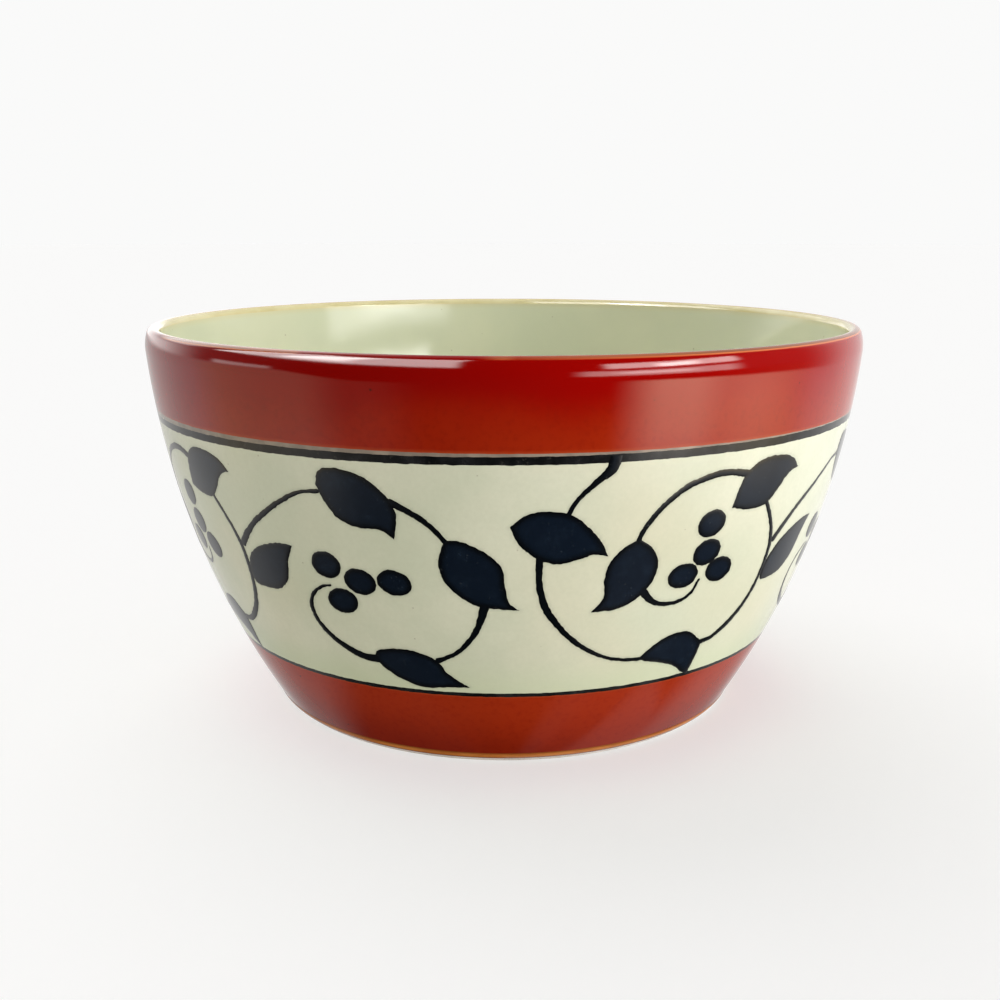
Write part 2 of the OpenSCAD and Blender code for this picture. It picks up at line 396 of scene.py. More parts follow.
def red_glaze():
    made = Recipe("red_glaze", 0.06)
    z = made.along("Z")
    # Purer red towards the lip; painted shade darkens the left of the front, where less light falls
    near_lip = made.ramp(z, height - 14 * MM, height - 4 * MM)
    upper = made.mix(near_lip, srgb(150, 34, 7), srgb(146, 2, 0))
    left = made.ramp(made.along("X"), 20 * MM, -25 * MM)
    upper = made.mix(made.times(left, 0.5), upper, srgb(118, 5, 1))
    lower = made.mix(made.ramp(z, 2 * MM, 13 * MM), srgb(126, 30, 10), srgb(152, 44, 16))
    base = made.mix(made.ramp(z, 30 * MM, 31 * MM), lower, upper)
    patchy = made.ramp(z, height - 3 * MM, height - 9 * MM)
    cloud = made.times(made.ramp(made.noise(60, detail=5.0), 0.35, 0.7), patchy)
    base = made.mix(made.times(cloud, 0.3), base, srgb(164, 44, 12))
    grain = made.times(made.ramp(made.noise(1100, detail=3.0), 0.45, 0.75), patchy)
    base = made.mix(made.times(grain, 0.25), base, srgb(110, 14, 4))
    edge = made.times(made.attribute("edge"), 0.55)
    base = made.mix(edge, base, srgb(170, 74, 34))
    # The red runs thin over the crest of the lip, and leaves a pale line below it
    thin = made.attribute("thin")
    line = made.times(made.ramp(z, height - 0.55 * MM, height - 0.4 * MM), thin)
    base = made.mix(made.times(line, 0.85), base, srgb(214, 122, 70))
    crest = made.times(made.ramp(z, height - 0.36 * MM, height - 0.26 * MM), thin)
    base = made.mix(crest, base, srgb(138, 76, 46))
    spots = made.times(made.specks(380, 0.1), 0.8)
    made.colour(made.mix(spots, base, srgb(52, 10, 4)))
    glaze_surface(made)
    return made.material


def grey_glaze():
    made = Recipe("grey_glaze", 0.08)
    streaks = made.ramp(made.noise(300, detail=4.0), 0.35, 0.7)
    made.colour(made.mix(streaks, srgb(128, 116, 102), srgb(152, 138, 120)))
    glaze_surface(made)
    return made.material


def black_enamel():
    made = Recipe("black_enamel", 0.08)
    streaks = made.ramp(made.noise(420, detail=4.0), 0.4, 0.75)
    base = made.mix(streaks, srgb(14, 15, 15), srgb(36, 36, 36))
    pits = made.ramp(made.noise(1500, detail=3.0), 0.62, 0.72)
    made.colour(made.mix(made.times(pits, 0.5), base, srgb(58, 56, 50)))
    glaze_surface(made)
    return made.material


def navy_enamel():
    made = Recipe("navy_enamel", 0.08)
    body = made.ramp(made.attribute("body"), 0.1, 0.9)
    base = made.mix(body, srgb(9, 11, 13), srgb(15, 23, 33))
    brushed = made.ramp(made.noise(420, detail=6.0, rough=0.7), 0.48, 0.8)
    base = made.mix(made.times(made.times(brushed, body), 0.45), base, srgb(34, 46, 58))
    pits = made.ramp(made.noise(1700, detail=2.0), 0.68, 0.76)
    made.colour(made.mix(made.times(pits, 0.5), base, srgb(60, 64, 62)))
    glaze_surface(made)
    return made.material


def foot_ochre():
    made = Recipe("foot_ochre", 0.09)
    z = made.along("Z")
    middle = made.times(made.ramp(z, bare_top, bare_top + 0.5 * MM),
                        made.ramp(z, foot_line_top, foot_line_top - 0.5 * MM))
    streaks = made.ramp(made.noise(200, detail=4.0), 0.3, 0.7)
    bright = made.mix(streaks, srgb(176, 104, 44), srgb(196, 124, 58))
    made.colour(made.mix(middle, srgb(128, 66, 26), bright))
    glaze_surface(made)
    return made.material


def bare_clay():
    made = Recipe("bare_clay", 0.75)
    cloud = made.ramp(made.noise(140, detail=5.0), 0.3, 0.7)
    base = made.mix(cloud, srgb(198, 190, 180), srgb(216, 208, 198))
    grit = made.ramp(made.noise(2600, detail=2.0), 0.6, 0.7)
    base = made.mix(made.times(grit, 0.5), base, srgb(150, 136, 122))
    # Painted shade: the clay is darker over the last quarter millimetre above the table, a contact shadow
    # painted where the foot sits on it
    tint_zone = made.ramp(made.along("Z"), 0.25 * MM, 0.0)
    made.colour(made.mix(made.times(tint_zone, 0.5), base, srgb(168, 158, 148)))
    made.bump(made.noise(1500, detail=4.0), 0.03 * MM)
    return made.material


MATERIALS = {make.__name__: make() for make in (
    cream_glaze, celadon_glaze, rim_ochre, red_glaze, grey_glaze, black_enamel, navy_enamel,
    foot_ochre, bare_clay)}


# The window light reaches the inside of the bowl more weakly than the outside
outside_pieces = bpy.data.collections.new("outside_pieces")
inside_pieces = bpy.data.collections.new("inside_pieces")


def finish_piece(piece, slot, *nodes):
    """Gives a piece crisp coat edges, its material and its place in the assembly."""
    home = inside_pieces if nodes[0] in ("inner_glaze", "rim_line") else outside_pieces
    home.objects.link(piece)
    piece.data.set_sharp_from_angle(angle=math.radians(50))
    piece.data.materials.append(MATERIALS[slot])
    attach(piece, "root")
    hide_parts(*nodes)
    return piece


# ---------------------------------------------------------------- clay and coats

# Hand-laid edges, each a height for every angle in TURN. The brush rode a little high on the right.
tilt = np.sin(TURN)
lower_red_top = lower_line_z + ragged(seed=3, size=0.06 * MM, waves=30)
lower_black_top = cream_bottom + 0.12 * MM + ragged(seed=5, size=0.07 * MM, waves=34)
upper_black_low = cream_top - 0.28 * MM + 0.3 * MM * tilt + ragged(seed=7, size=0.09 * MM, waves=38)
upper_black_top = upper_line_z - 0.05 * MM + 0.35 * MM * tilt + ragged(seed=9, size=0.07 * MM, waves=30)
upper_red_low = upper_red_z + ragged(seed=11, size=0.04 * MM, waves=26)
upper_red_low = np.maximum(upper_red_low, upper_black_top + 0.03 * MM)


def rim_arc(depth, start, end, count):
    """Profile points round the lip, this deep under its skin: lean is its outer side, 90 its crest."""
    return arc(lip_c, lip_r - depth, start, end, count)


def shoulder_arc(depth, count):
    """Profile points up the shoulder, from the end of the belly arc to the lip."""
    return arc(shoulder_c, shoulder_r - depth, math.degrees(wall_end), math.degrees(lean), count)


def hollow_profile(margin, rows):
    """Profile of the inside, from the lip down to the centre of the floor, grown by a margin."""
    lip_a = math.degrees(wall_end)
    wall_a = direction(inside_c, cove_c)
    dish_a = direction(dish_c, cove_c)
    wall = arc(inside_c, inside_r + margin, lip_a, wall_a, rows)
    cove = arc(cove_c, cove_r + margin, wall_a, dish_a, rows // 2)
    dish = arc(dish_c, dish_r + margin, dish_a, -90, rows)
    dish[-1] = (0.0, dish[-1][1])
    return wall + cove[1:] + dish[1:]


def clay_body():
    shoulder = shoulder_arc(coat, 6)
    wall = [(wall_x(z, coat), z) for z in np.linspace(foot_h, shoulder[0][1], 24)]
    lip = rim_arc(coat, math.degrees(lean), 180 + math.degrees(wall_end), 13)
    inside = hollow_profile(coat, 24)
    profile = [(0.0, foot_h)] + wall + shoulder[1:] + lip[1:] + inside[1:]
    return finish_piece(skin("clay_body", turned(profile)), "bare_clay", "clay_body")


def foot_ring():
    outer = foot_point.x - coat
    inner = outer - foot_w
    side = [(wall_x(z, coat), z) for z in np.linspace(edge_wear * 2, foot_h, 10)]
    profile = [(inner - base_inset, foot_h), (inner - 0.3 * MM, 1.3 * MM), (inner, edge_wear)]
    profile += arc((inner + edge_wear, edge_wear), edge_wear, 200, 270, 6)
    profile += arc((outer - edge_wear, edge_wear), edge_wear, 270, 335, 6)
    piece = skin("foot_ring", turned(profile + side))
    return finish_piece(piece, "bare_clay", "foot_ring")


def inner_glaze():
    piece = skin("inner_glaze", turned(hollow_profile(0, 60) + hollow_profile(coat, 20)[::-1]))
    return finish_piece(piece, "celadon_glaze", "inner_glaze")


def rim_line():
    inner_end = 180 + math.degrees(wall_end)
    piece = skin("rim_line", turned(rim_arc(0, 90, inner_end, 15) + rim_arc(coat, inner_end, 90, 8)))
    return finish_piece(piece, "rim_ochre", "rim_line")


def around(piece, ring):
    """A ring's value, one for each angle in TURN, at each point of a piece."""
    co = np.array([v.co for v in piece.data.vertices])
    turn = np.arctan2(co[:, 0], -co[:, 1]) % (2 * math.pi)
    return np.interp(turn, TURN, ring + 0 * TURN, period=2 * math.pi)


def keep(piece, name, values):
    """Stores a value at each point of a piece for its material to read."""
    store = piece.data.attributes.new(name, "FLOAT", "POINT")
    store.data.foreach_set("value", values)


def set_edge(piece, edge, reach):
    """Stores how near each point is to a coat's edge, 1 at the edge and 0 beyond reach."""
    z = np.array([v.co.z for v in piece.data.vertices])
    keep(piece, "edge", np.clip(1 - np.abs(z - around(piece, edge)) / reach, 0, 1))


def upper_red_band():
    top = shoulder_arc(0, 2)[0][1]
    lip_a = math.degrees(lean)
    round_top = turned(shoulder_arc(0, 14) + rim_arc(0, lip_a, 90, 15)[1:])
    round_under = turned(rim_arc(coat, 90, lip_a, 8) + shoulder_arc(coat, 6)[-2::-1])
    piece = skin("upper_red_band", wall_rings(upper_red_low, top, 36) + round_top[1:]
                 + round_under + wall_rings(top, upper_red_low, 6, coat)[1:])
    set_edge(piece, upper_red_low, 0.5 * MM)
    # The lip is worn thin on the right of the front, and in patches elsewhere
    tint_zone = 3 * np.cos(TURN - math.radians(50)) - 1.8
    patches = ragged(seed=17, size=1.6, waves=2.2)
    keep(piece, "thin", around(piece, np.clip(np.maximum(tint_zone, patches), 0, 1)))
    return finish_piece(piece, "red_glaze", "upper_red_band")


def lower_red_band():
    piece = band("lower_red_band", foot_line_top, lower_red_top, 40)
    set_edge(piece, lower_red_top, 0.3 * MM)
    return finish_piece(piece, "red_glaze", "lower_red_band")


def foot_line():
    """The ochre line, standing up as a low bead where the glaze ran down and stopped."""
    bead = 0.12 * MM
    profile = []
    for t in np.linspace(0, 1, 9):
        z = bare_top + t * (foot_line_top - bare_top)
        profile.append((wall_x(z, -bead * math.sin(math.pi * t)), z))
    profile += [(wall_x(z, coat), z) for z in (foot_line_top, bare_top)]
    return finish_piece(skin("foot_line", turned(profile)), "foot_ochre", "foot_line")


def base_glaze():
    edge_r = foot_point.x - coat - foot_w - base_inset
    low = foot_h - coat
    curl = 0.15 * MM
    profile = [(0.0, foot_h), (edge_r, foot_h)] + arc((edge_r - curl, low + curl), curl, 0, -90, 5)
    profile += [(edge_r * t, low) for t in (0.8, 0.6, 0.4, 0.2)] + [(0.0, low)]
    return finish_piece(skin("base_glaze", turned(profile)), "celadon_glaze", "base_glaze")


# ---------------------------------------------------------------- painted scrolls
# Points are [angle in degrees, height in mm]; a stem's third number is its width in mm.
# A quarter of the band holds one left scroll and one right scroll.

LEFT_STEMS = [
    [(-15.2, 48, 1.3), (-13.3, 47, 1), (-11.2, 45.7, 0.9), (-9.6, 44.2, 0.8), (-8, 42.2, 0.8)],
    [(-2.9, 31.8, 1.4), (-3.5, 29.5, 1.1), (-4.3, 27.3, 0.9), (-5.8, 25, 0.8), (-7.8, 23, 0.7),
     (-10.8, 21.5, 0.9)],
    [(-21.5, 20.7, 1.5), (-24, 20.8, 1.4), (-27, 22, 1.2), (-29.8, 24, 1), (-31.5, 26.6, 0.8),
     (-31.7, 29.3, 0.7), (-30.3, 31.6, 0.6), (-28.4, 32.9, 0.5), (-26.9, 33.3, 0.4)],
]
# A leaf is its two edges, both drawn from its base to its tip
LEFT_LEAVES = [
    ([(-26.1, 50), (-25.2, 52.3), (-22.5, 52.7), (-19, 51.8), (-16, 49.3), (-14.6, 46.3), (-15.2, 42.2)],
     [(-26.1, 50), (-25, 47.2), (-23.2, 44.8), (-20.5, 43.7), (-17.2, 43.6), (-15.2, 42.2)]),
    ([(-8.2, 42.5), (-6, 42.4), (-2.9, 40.9), (-0.5, 38.4), (0.1, 35), (0.7, 32.4), (2.3, 31)],
     [(-8.2, 42.5), (-9.2, 39.2), (-8.7, 36), (-6.8, 33.6), (-3.8, 31.7), (2.3, 31)]),
    ([(-22, 20.9), (-21, 22.4), (-17.5, 23.1), (-14, 22.8), (-11, 21.4), (-9.2, 18.9), (-5.9, 16.5)],
     [(-22, 20.9), (-20.6, 19), (-18, 17.3), (-14.2, 16), (-10, 16.3), (-5.9, 16.5)]),
]
LEFT_BERRIES = [(-26.9, 36.8), (-21.6, 34.6), (-16.1, 35), (-25.3, 30.8)]

RIGHT_STEMS = [
    [(14.3, 55, 1.8), (13.8, 53.2, 1.6), (12.4, 51.8, 1.1), (10.6, 50, 0.8), (9.3, 48.4, 0.7),
     (8.2, 46, 0.8)],
    [(4.9, 40, 1.1), (4.8, 37, 0.9), (5.2, 34, 0.9), (6.2, 31, 1), (8, 28.3, 0.9), (10, 26, 0.8),
     (12.8, 23.7, 0.7), (16, 21.9, 0.6), (19.5, 20.8, 0.6), (24, 20.3, 0.7)],
    [(35, 21.2, 1), (38.2, 21.7, 1), (41, 23.5, 1.1), (43.4, 26.1, 1), (44.9, 29.3, 0.9),
     (45.5, 33, 0.9), (45.4, 36.8, 1), (44.4, 39.8, 0.9), (42.9, 42.5, 0.8), (41, 45.3, 0.8)],
    [(35.5, 50.4, 1.2), (33, 51, 1.1), (30.3, 51.1, 1.1), (27.5, 50.5, 1), (25, 49.5, 1),
     (22.4, 47.5, 0.9), (20.5, 45.2, 0.9), (19.2, 43, 0.8), (18.7, 41.2, 0.9)],
    [(20.4, 33.6, 1.3), (22.3, 31.5, 1.1), (24, 30.5, 0.8), (26.3, 30.2, 0.7), (28.3, 30.5, 0.7),
     (29.8, 31.6, 0.6), (30.6, 33.6, 0.5)],
    [(46, 37.9, 1.2), (47.8, 40, 1.1), (50.3, 42.4, 0.9), (54, 45, 0.8), (58, 47.4, 0.7),
     (61, 48.8, 0.6), (63.8, 49.2, 0.7)],
]
RIGHT_LEAVES = [
    ([(0.7, 44.8), (2.5, 46.4), (5, 47.1), (9, 46.4), (12.8, 42.8), (14.5, 39.6)],
     [(0.7, 44.8), (1.9, 42), (4.6, 39.6), (7.5, 38.7), (10.5, 39.4), (12.4, 40), (14.5, 39.6)]),
    ([(22.8, 20.3), (25, 22.4), (27.8, 24), (31.5, 24.2), (34.2, 22.6), (36, 20.5), (35.7, 15)],
     [(22.8, 20.3), (25, 19.6), (29, 18.4), (32, 17.1), (33.6, 15.9), (35.7, 15)]),
    ([(33.8, 45.2), (34.5, 48.5), (35.6, 50.8), (38.4, 52.4), (42.4, 52.5), (45.4, 51.6), (47.3, 49.9)],
     [(33.8, 45.2), (37.2, 44.4), (40.8, 44.7), (43, 46.6), (45, 49), (47.3, 49.9)]),
    ([(18.8, 42), (20.9, 40.6), (22.5, 37.8), (22.2, 34.8), (20.2, 32), (17, 30.4), (13, 30.2)],
     [(18.8, 42), (16.4, 40.5), (14.8, 38.2), (14.4, 35.6), (14.6, 32.6), (13, 30.2)]),
    ([(45.6, 33), (46.8, 35.6), (49, 37.7), (52.5, 39.3), (55.5, 39.9), (57.7, 39.8)],
     [(45.6, 33), (46.2, 30.7), (49, 30.4), (52.5, 31), (55.1, 33.4), (56.2, 37), (57.7, 39.8)]),
]
RIGHT_BERRIES = [(30.6, 43.1), (30.9, 38.3), (27.4, 34.8), (34.2, 34.9)]

left_mid = -18         # angle at the middle of each scroll
right_mid = 28
berry_w = 5.4
berry_h = 4.4
outline_step = 0.3     # mm between points of a painted edge
fill_step = 0.55       # mm between points inside a painted shape
brush_wander = 0.1     # mm that a painted edge strays
repeat_wander = 0.7    # degrees and mm that a repeat is redrawn away from the first quarter
edge_rise = 0.008      # mm that enamel stands up at the edge of a stroke
stroke_rise = 0.03     # mm more in the middle of it
round_over = 0.35      # mm in from the edge where it reaches that
stroke_sink = 0.05     # mm that its underside lies in the cream glaze
full_body = 1.4        # mm in from the edge where its colour is at its fullest
edge_rings = (0.12, 0.3)       # mm in from the edge of the rows that carry the rounding
ring_clear = (0.1, 0.26)       # mm that those rows keep from the edge at corners
grid_clear = 0.3               # mm that the other points keep from the edge


def flat(p, mid):
    """A painting point in mm on the plane that touches the bowl at angle mid."""
    x = wall_x(p[1] * MM) / MM * math.sin(math.radians(p[0] - mid))
    return np.array([x, p[1], *p[2:]])


def smooth(points, step=outline_step):
    """A smooth curve through every point, with a point about every step along it."""
    out = []
    last = len(points) - 1
    for i in range(last):
        a, b, c, d = (points[k] for k in (max(i - 1, 0), i, i + 1, min(i + 2, last)))
        count = max(2, int(np.linalg.norm((c - b)[:2]) / step))
        for t in np.arange(count) / count:
            out.append(b + (c - a) * t / 2 + (2 * a - 5 * b + 4 * c - d) * t ** 2 / 2
                       + (3 * b - a - 3 * c + d) * t ** 3 / 2)
    out.append(points[last])
    return np.array(out)


def leaf_outline(leaf, mid):
    """A leaf's edge: out along one side from base to tip, and back along the other."""
    upper, lower = (smooth([flat(p, mid) for p in edge]) for edge in leaf)
    return np.concatenate([upper, lower[-2:0:-1]])


def stem_outline(stem, mid):
    """A stem's edge: up one side, round the far end, back down the other side and round the near end."""
    line = smooth([flat(p, mid) for p in stem])
    run = np.gradient(line[:, :2], axis=0)
    across = np.stack([-run[:, 1], run[:, 0]], -1) / np.linalg.norm(run, axis=1)[:, None]
    half = line[:, 2:3] / 2 * across
    turns = np.linspace(0, math.pi, 7)[1:-1]
    caps = []
    for end in (-1, 0):
        side = across[end] if end else -across[end]
        forward = np.array([side[1], -side[0]])
        round_end = [math.cos(a) * side + math.sin(a) * forward for a in turns]
        caps.append([line[end, :2] + line[end, 2] / 2 * aim for aim in round_end])
    return np.concatenate([line[:, :2] + half, caps[0], (line[:, :2] - half)[::-1], caps[1]])


def berry_outline(berry, mid):
    """An oval, squashed a little differently for each berry."""
    turns = np.linspace(0, 2 * math.pi, 48, endpoint=False)
    squash = 1 + 0.03 * np.sin(2 * turns + berry[0])
    oval = np.stack([berry_w / 2 * np.cos(turns) * squash, berry_h / 2 * np.sin(turns) * squash], -1)
    return flat(berry, mid) + oval


def edge_normals(outline):
    """Unit vectors square to a closed outline, on the left of its run."""
    run = np.roll(outline, -1, 0) - np.roll(outline, 1, 0)
    length = np.maximum(np.linalg.norm(run, axis=1), 1e-6)[:, None]
    return np.stack([-run[:, 1], run[:, 0]], -1) / length


def wander(outline, seed):
    """Moves a painted edge in and out a little, as a brush leaves it."""
    shift = [noise.fractal(Vector((p[0] * 1.6, p[1] * 1.6, seed)), 0.6, 2.1, 3) for p in outline]
    return outline - brush_wander * np.array(shift)[:, None] * edge_normals(outline)


def hand_shift(points, side, quarter):
    """Redraws a shape a little differently, as a painter does on each repeat."""
    if quarter == 1:
        return points
    seed = 3.1 * quarter + (7 if side == "left" else 0)
    out = []
    for p in points:
        a = noise.noise(Vector((p[0] * 0.06, p[1] * 0.06, seed)))
        b = noise.noise(Vector((p[0] * 0.06, p[1] * 0.06, seed + 40)))
        out.append((p[0] + repeat_wander * a, p[1] + repeat_wander * b, *p[2:]))
    return out


def inside(points, outline):
    """Which points lie inside a closed outline."""
    x, y = points[:, 0][:, None], points[:, 1][:, None]
    x0, y0 = outline[:, 0][None], outline[:, 1][None]
    x1, y1 = np.roll(outline[:, 0], -1)[None], np.roll(outline[:, 1], -1)[None]
    crossing = (y0 > y) != (y1 > y)
    with np.errstate(divide="ignore", invalid="ignore"):
        at = x0 + (y - y0) * (x1 - x0) / (y1 - y0)
    return (np.sum(crossing & (x < at), axis=1) % 2) == 1


def edge_distance(points, outline):
    """Distance from each point to the nearest part of a closed outline."""
    a = outline[None]
    ab = np.roll(outline, -1, 0)[None] - a
    ap = points[:, None] - a
    t = np.clip(np.sum(ap * ab, -1) / np.maximum(np.sum(ab * ab, -1), 1e-9), 0, 1)
    return np.min(np.linalg.norm(ap - t[..., None] * ab, axis=-1), axis=1)


def on_wall(points, mid, quarter, lift):
    """Flat painting points in mm laid on the bowl, lifted off the glaze."""
    z = np.clip(points[:, 1] * MM, cream_bottom - 0.4 * MM, cream_top + 0.8 * MM)
    r = wall_x(z)
    turn = np.arcsin(np.clip(points[:, 0] * MM / r, -1, 1)) + math.radians(mid + 90 * (quarter - 1))
    return place(wall_x(z, -lift * MM), turn, z)


def fill_points(outline):
    """The points of a painted shape: its outline, then a grid and two rows that follow the edge."""
    low = outline.min(0)
    high = outline.max(0)
    xs = np.arange(low[0], high[0], fill_step)
    ys = np.arange(low[1], high[1], fill_step)
    grid = np.array([(x + (0.5 * fill_step if k % 2 else 0), y) for k, y in enumerate(ys) for x in xs])
    next_x, next_y = np.roll(outline, -1, 0).T
    clockwise = np.sum(outline[:, 0] * next_y - next_x * outline[:, 1]) < 0
    inward = -edge_normals(outline) if clockwise else edge_normals(outline)
    extra = [grid[inside(grid, outline)]]
    for depth in edge_rings:
        ring = outline + depth * inward
        extra.append(ring[inside(ring, outline)])
    kept = [p[edge_distance(p, outline) > c] for p, c in zip(extra, (grid_clear, *ring_clear)) if len(p)]
    return np.concatenate([outline] + kept)


def stroke(outline, mid, quarter):
    """One painted shape as a thin closed solid: points, faces and how full its colour is at each point."""
    points = fill_points(outline)
    count = len(outline)
    loop = [(i, (i + 1) % count) for i in range(count)]
    coords, _, faces, _, _, _ = geometry.delaunay_2d_cdt(
        [Vector(p) for p in points], loop, [list(range(count))], 1, 1e-5)
    coords = np.array([(p.x, p.y) for p in coords])
    sides = dict.fromkeys((f[i], f[(i + 1) % len(f)]) for f in faces for i in range(len(f)))
    rim = [(a, b) for a, b in sides if (b, a) not in sides]
    depth = edge_distance(coords, outline)
    rise = stroke_rise * (1 - (1 - np.clip(depth / round_over, 0, 1)) ** 2) + edge_rise
    top = on_wall(coords, mid, quarter, rise)
    base = on_wall(coords, mid, quarter, -stroke_sink)
    n = len(coords)
    solid = [tuple(f) for f in faces]
    solid += [tuple(i + n for i in reversed(f)) for f in faces]
    solid += [(b, a, a + n, b + n) for a, b in rim]
    return np.concatenate([top, base]), solid, np.tile(np.clip(depth / full_body, 0, 1), 2)


painted_edges = []     # every painted outline, laid on the bowl


def painting(name, outlines, mid, quarter):
    """All the strokes of one node as one piece."""
    verts, faces, body, start = [], [], [], 0
    for k, outline in enumerate(outlines):
        outline = wander(outline, 13.7 * k + quarter)
        v, f, b = stroke(outline, mid, quarter)
        verts.append(v)
        body.append(b)
        faces += [tuple(i + start for i in face) for face in f]
        start += len(v)
        painted_edges.append(on_wall(outline, mid, quarter, 0.0))
    piece = smooth_piece(name, np.concatenate(verts).tolist(), faces)
    keep(piece, "body", np.concatenate(body))
    return finish_piece(piece, "navy_enamel", name)


def scroll(side, stems, leaves, berries, mid, quarter):
    """The stems, leaves and berries of one scroll on one quarter of the bowl."""
    drawn = {
        "stems": [stem_outline(hand_shift(s, side, quarter), mid) for s in stems],
        "leaves": [leaf_outline([hand_shift(e, side, quarter) for e in leaf], mid) for leaf in leaves],
        "berries": [berry_outline(hand_shift([b], side, quarter)[0], mid) for b in berries],
    }
    for kind, outlines in drawn.items():
        painting(f"{side}_{kind}_{quarter}", outlines, mid, quarter)


def cream_band():
    """The cream ground, darkened to a soft grey round every stroke."""
    piece = band("cream_band", lower_black_top, upper_black_low, 96)
    painted = np.concatenate(painted_edges)
    tree = kdtree.KDTree(len(painted))
    for i, p in enumerate(painted):
        tree.insert(Vector(p), i)
    tree.balance()
    reach = 0.3 * MM
    stroke_halo = np.array([math.exp(-(tree.find(v.co)[2] / reach) ** 2) for v in piece.data.vertices])
    keep(piece, "stroke_halo", stroke_halo)
    return finish_piece(piece, "cream_glaze", "cream_band")


# ---------------------------------------------------------------- assembly

clay_body()
foot_ring()
inner_glaze()
rim_line()
base_glaze()
foot_line()
lower_red_band()
upper_red_band()
for name, low, high, rows, slot in (
        ("lower_black_line", lower_red_top, lower_black_top, 4, "black_enamel"),
        ("upper_black_line", upper_black_low, upper_black_top, 6, "black_enamel"),
        ("upper_grey_line", upper_black_top, upper_red_low, 4, "grey_glaze")):
    finish_piece(band(name, low, high, rows), slot, name)
for quarter in QUARTERS:
    scroll("left", LEFT_STEMS, LEFT_LEAVES, LEFT_BERRIES, left_mid, quarter)
    scroll("right", RIGHT_STEMS, RIGHT_LEAVES, RIGHT_BERRIES, right_mid, quarter)
cream_band()


# ---------------------------------------------------------------- floor, light and camera

def stage_mesh(name, verts, faces, material):
    made = new_object(name, verts, faces)
    made.data.materials.append(material)
    return made


PAPER = 0.955          # how bright the paper and the backdrop look
PAPER_ALBEDO = 0.45    # the share of the light on the paper that it gives back


def floor():
    """White paper, lit partly from below as on a light table, so that shadows on it stay pale."""
    made = Recipe("stage_paper", 0.9)
    made.shader.inputs["Base Color"].default_value = (PAPER_ALBEDO, 0.447, 0.443, 1)
    made.shader.inputs["Specular IOR Level"].default_value = 0.0
    made.shader.inputs["Emission Color"].default_value = (1, 1, 0.995, 1)
    made.shader.inputs["Emission Strength"].default_value = PAPER - PAPER_ALBEDO * FLOOR_LIGHT
    size = 6.0
    corners = [(-size, -size, 0), (size, -size, 0), (size, size, 0), (-size, size, 0)]
    plane = stage_mesh("stage_floor", corners, [(0, 1, 2, 3)], made.material)
    plane.visible_glossy = False


def smoothstep(value, low, high):
    t = min(max((value - low) / (high - low), 0), 1)
    return t * t * (3 - 2 * t)


def window(azimuth, elevation, left, right, low, high, soft, soft_side):
    """1 inside a window of the room, 0 outside, soft at its frame. All in degrees."""
    across = smoothstep(azimuth, left - soft_side, left) * smoothstep(-azimuth, -right - soft_side, -right)
    up = smoothstep(elevation, low - soft, low) * smoothstep(-elevation, -high - soft, -high)
    return across * up


# Windows of the room: brightness, left, right, low and high edges, softness of the frame
PANES = (
    (4.2, 26, 68, 3, 10, 2, 8),
    (5.0, 38, 52, 6, 8, 2, 10),
    (8.0, 32, 72, 16, 23, 2, 4),
    (12.0, 49, 56, 17, 20, 2, 6),
    (8.0, -98, -16, 22, 58, 4, 4),
    (14.0, -68, -52, 28, 48, 8, 8),
    (2.2, -94, -74, 3, 5, 2, 4),
    (1.5, -164, -118, 22, 52, 6, 4),
)


def glow(azimuth, elevation):
    """Colour of the room in a direction, as the glaze reflects it. Angles in degrees from the front."""
    # Paper below the horizon: pale at the sides, dark where the camera stands and under the bowl
    side = abs(azimuth)
    if azimuth < 0:
        paper = 0.01 + 0.22 * smoothstep(side, 22, 44) + 0.5 * smoothstep(side, 46, 66)
        low = 0.04 + 0.46 * smoothstep(side, 80, 108) * smoothstep(elevation, -58, -44)
        far = smoothstep(elevation, -44, -18)
        shore = -10 + 12 * smoothstep(side, 40, 75)
        rear = 1.7 - 0.9 * smoothstep(elevation, 8, 20)
    else:
        paper = 0.01 + 3.6 * smoothstep(side, 31, 50) - 1.5 * smoothstep(side, 57, 72)
        paper -= 1.2 * smoothstep(side, 78, 105)
        low = 0.03 + 0.4 * smoothstep(side, 105, 125)
        far = smoothstep(elevation, -36, -12)
        shore = -8
        rear = 0.8
    near = 0.25 * smoothstep(azimuth, 80, 95) * smoothstep(-elevation, 50, 55)
    above = smoothstep(elevation, shore - 2, shore + 2)
    paper = max(paper * (low + (1 - low) * far), near) * (1 - above)
    # Walls of the room above it: dim, and pale behind the bowl
    wall = 0.01 + 0.13 * smoothstep(side, 50, 100)
    wall += rear * smoothstep(side, 98, 130) * (1 - 0.7 * smoothstep(elevation, 20, 60))
    panes = [strength * window(azimuth, elevation, *edges) for strength, *edges in PANES]
    bright = paper + wall * above + sum(panes)
    # The far edge of the paper is warm
    warm = smoothstep(elevation, -28, -16) * (1 - smoothstep(elevation, -2, 4))
    warm *= 1 - smoothstep(side, 92, 112)
    return (bright * (1 + 0.12 * warm), bright * (0.99 - 0.03 * warm), bright * (0.97 - 0.27 * warm), 1.0)


def aim(azimuth, elevation):
    """A unit vector at these angles in degrees, from the front and up."""
    a = math.radians(azimuth)
    e = math.radians(elevation)
    return (math.cos(e) * math.sin(a), -math.cos(e) * math.cos(a), math.sin(e))


def ball(name, radius, step, material):
    """A sphere of stage round the object, and the direction of each of its points in degrees."""
    faces = []
    azimuths = range(-180, 180, step)
    elevations = range(-90, 91, step)
    aims = [(a, e) for e in elevations for a in azimuths]
    verts = [tuple(radius * part for part in aim(a, e)) for a, e in aims]
    n = len(azimuths)
    for j in range(len(elevations) - 1):
        for i in range(n):
            k = (i + 1) % n
            faces.append((j * n + i, j * n + k, (j + 1) * n + k, (j + 1) * n + i))
    made = stage_mesh(name, verts, faces, material)
    made.visible_diffuse = False
    made.visible_shadow = False
    made.visible_transmission = False
    return made, aims


